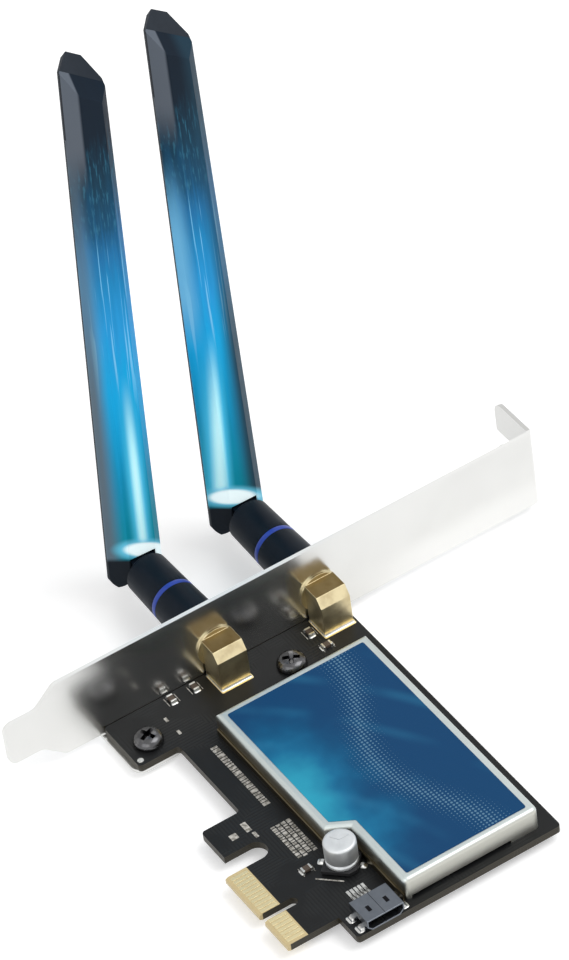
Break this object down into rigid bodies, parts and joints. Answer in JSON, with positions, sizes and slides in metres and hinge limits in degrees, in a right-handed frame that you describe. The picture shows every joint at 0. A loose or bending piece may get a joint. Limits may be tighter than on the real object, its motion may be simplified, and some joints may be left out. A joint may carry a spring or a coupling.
{
  "type": "wireless network card",
  "caption": "Expansion card with a notched edge connector, a bent slot bracket, a shielded radio under a label, gold antenna jacks and hinged blade antennas.",
  "frame": {"origin": "middle of the key notch on the contact edge, halfway through the board", "axes": "+X along the card away from the bracket, +Y from the contacts to the bracket's screw tab, +Z out of the component side"},
  "size_m": [0.1089, 0.12, 0.1306],
  "materials": {
    "board": "black solder mask, semi-gloss",
    "gold": "gold plated",
    "plated_steel": "bright nickel plate",
    "screw_steel": "nickel plate, worn",
    "tin_plate": "tin plate",
    "label": "printed blue film",
    "chip_plastic": "moulded, matt",
    "pad": "soft filled silicone",
    "can_aluminium": "drawn can",
    "base_plastic": "moulded, matt",
    "solder": "tinned",
    "socket_steel": "nickel plate",
    "ceramic": "fired ceramic",
    "white_plastic": "turned, matt",
    "antenna_plastic": "moulded, fine satin",
    "ring_plastic": "moulded, gloss",
    "blade_plastic": "satin black fading to printed blue",
    "lead_jacket": "extruded jacket"
  },
  "bodies": {
    "card": {"circuit_board": "board", "edge_contacts_component_side": "gold", "edge_contacts_solder_side": "gold", "bracket": "plated_steel", "bracket_screws": "screw_steel", "shield_cover": "tin_plate", "cover_label": "label", "radio_chip": "chip_plastic", "thermal_pad": "pad", "amplifier_chips": "chip_plastic", "crystal": "tin_plate", "regulator_chip": "chip_plastic", "capacitor_can": "can_aluminium", "capacitor_base": "base_plastic", "capacitor_leads": "solder", "socket_shell": "socket_steel", "socket_insulator": "base_plastic", "socket_contacts": "gold", "chip_bodies": "ceramic", "chip_ends": "solder", "left_jack_body": "gold", "left_jack_insulator": "white_plastic", "left_jack_pin": "gold", "left_lock_washer": "gold", "left_jack_nut": "gold", "left_sleeve": "antenna_plastic", "left_coupling_nut": "gold", "left_plug_contact": "gold", "left_plug_insulator": "white_plastic", "left_ring": "ring_plastic", "left_stem_lead": "lead_jacket", "right_jack_body": "gold", "right_jack_insulator": "white_plastic", "right_jack_pin": "gold", "right_lock_washer": "gold", "right_jack_nut": "gold", "right_sleeve": "antenna_plastic", "right_coupling_nut": "gold", "right_plug_contact": "gold", "right_plug_insulator": "white_plastic", "right_ring": "ring_plastic", "right_stem_lead": "lead_jacket"},
    "left_base": {"left_swivel_base": "antenna_plastic"},
    "left_blade": {"left_hinge_pin": "screw_steel", "left_blade_front": "blade_plastic", "left_blade_rear": "blade_plastic", "left_radiator": "board", "left_blade_lead": "lead_jacket"},
    "right_base": {"right_swivel_base": "antenna_plastic"},
    "right_blade": {"right_hinge_pin": "screw_steel", "right_blade_front": "blade_plastic", "right_blade_rear": "blade_plastic", "right_radiator": "board", "right_blade_lead": "lead_jacket"}
  },
  "joints": [
    {"name": "left_swivel", "type": "hinge", "parent": "card", "child": "left_base", "pos_m": [-0.07436, 0.0285, 0.00655], "axis": [1, 0, 0], "range_deg": [-2, 180]},
    {"name": "left_tilt", "type": "hinge", "parent": "left_base", "child": "left_blade", "pos_m": [-0.08991, 0.0285, 0.00655], "axis": [0, -0.9984, 0.0558], "range_deg": [0, 90]},
    {"name": "right_swivel", "type": "hinge", "parent": "card", "child": "right_base", "pos_m": [-0.07436, 0.0518, 0.00655], "axis": [-1, 0, 0], "range_deg": [-2, 180]},
    {"name": "right_tilt", "type": "hinge", "parent": "right_base", "child": "right_blade", "pos_m": [-0.08991, 0.0518, 0.00655], "axis": [0, -0.9999, 0.014], "range_deg": [0, 90]}
  ]
}
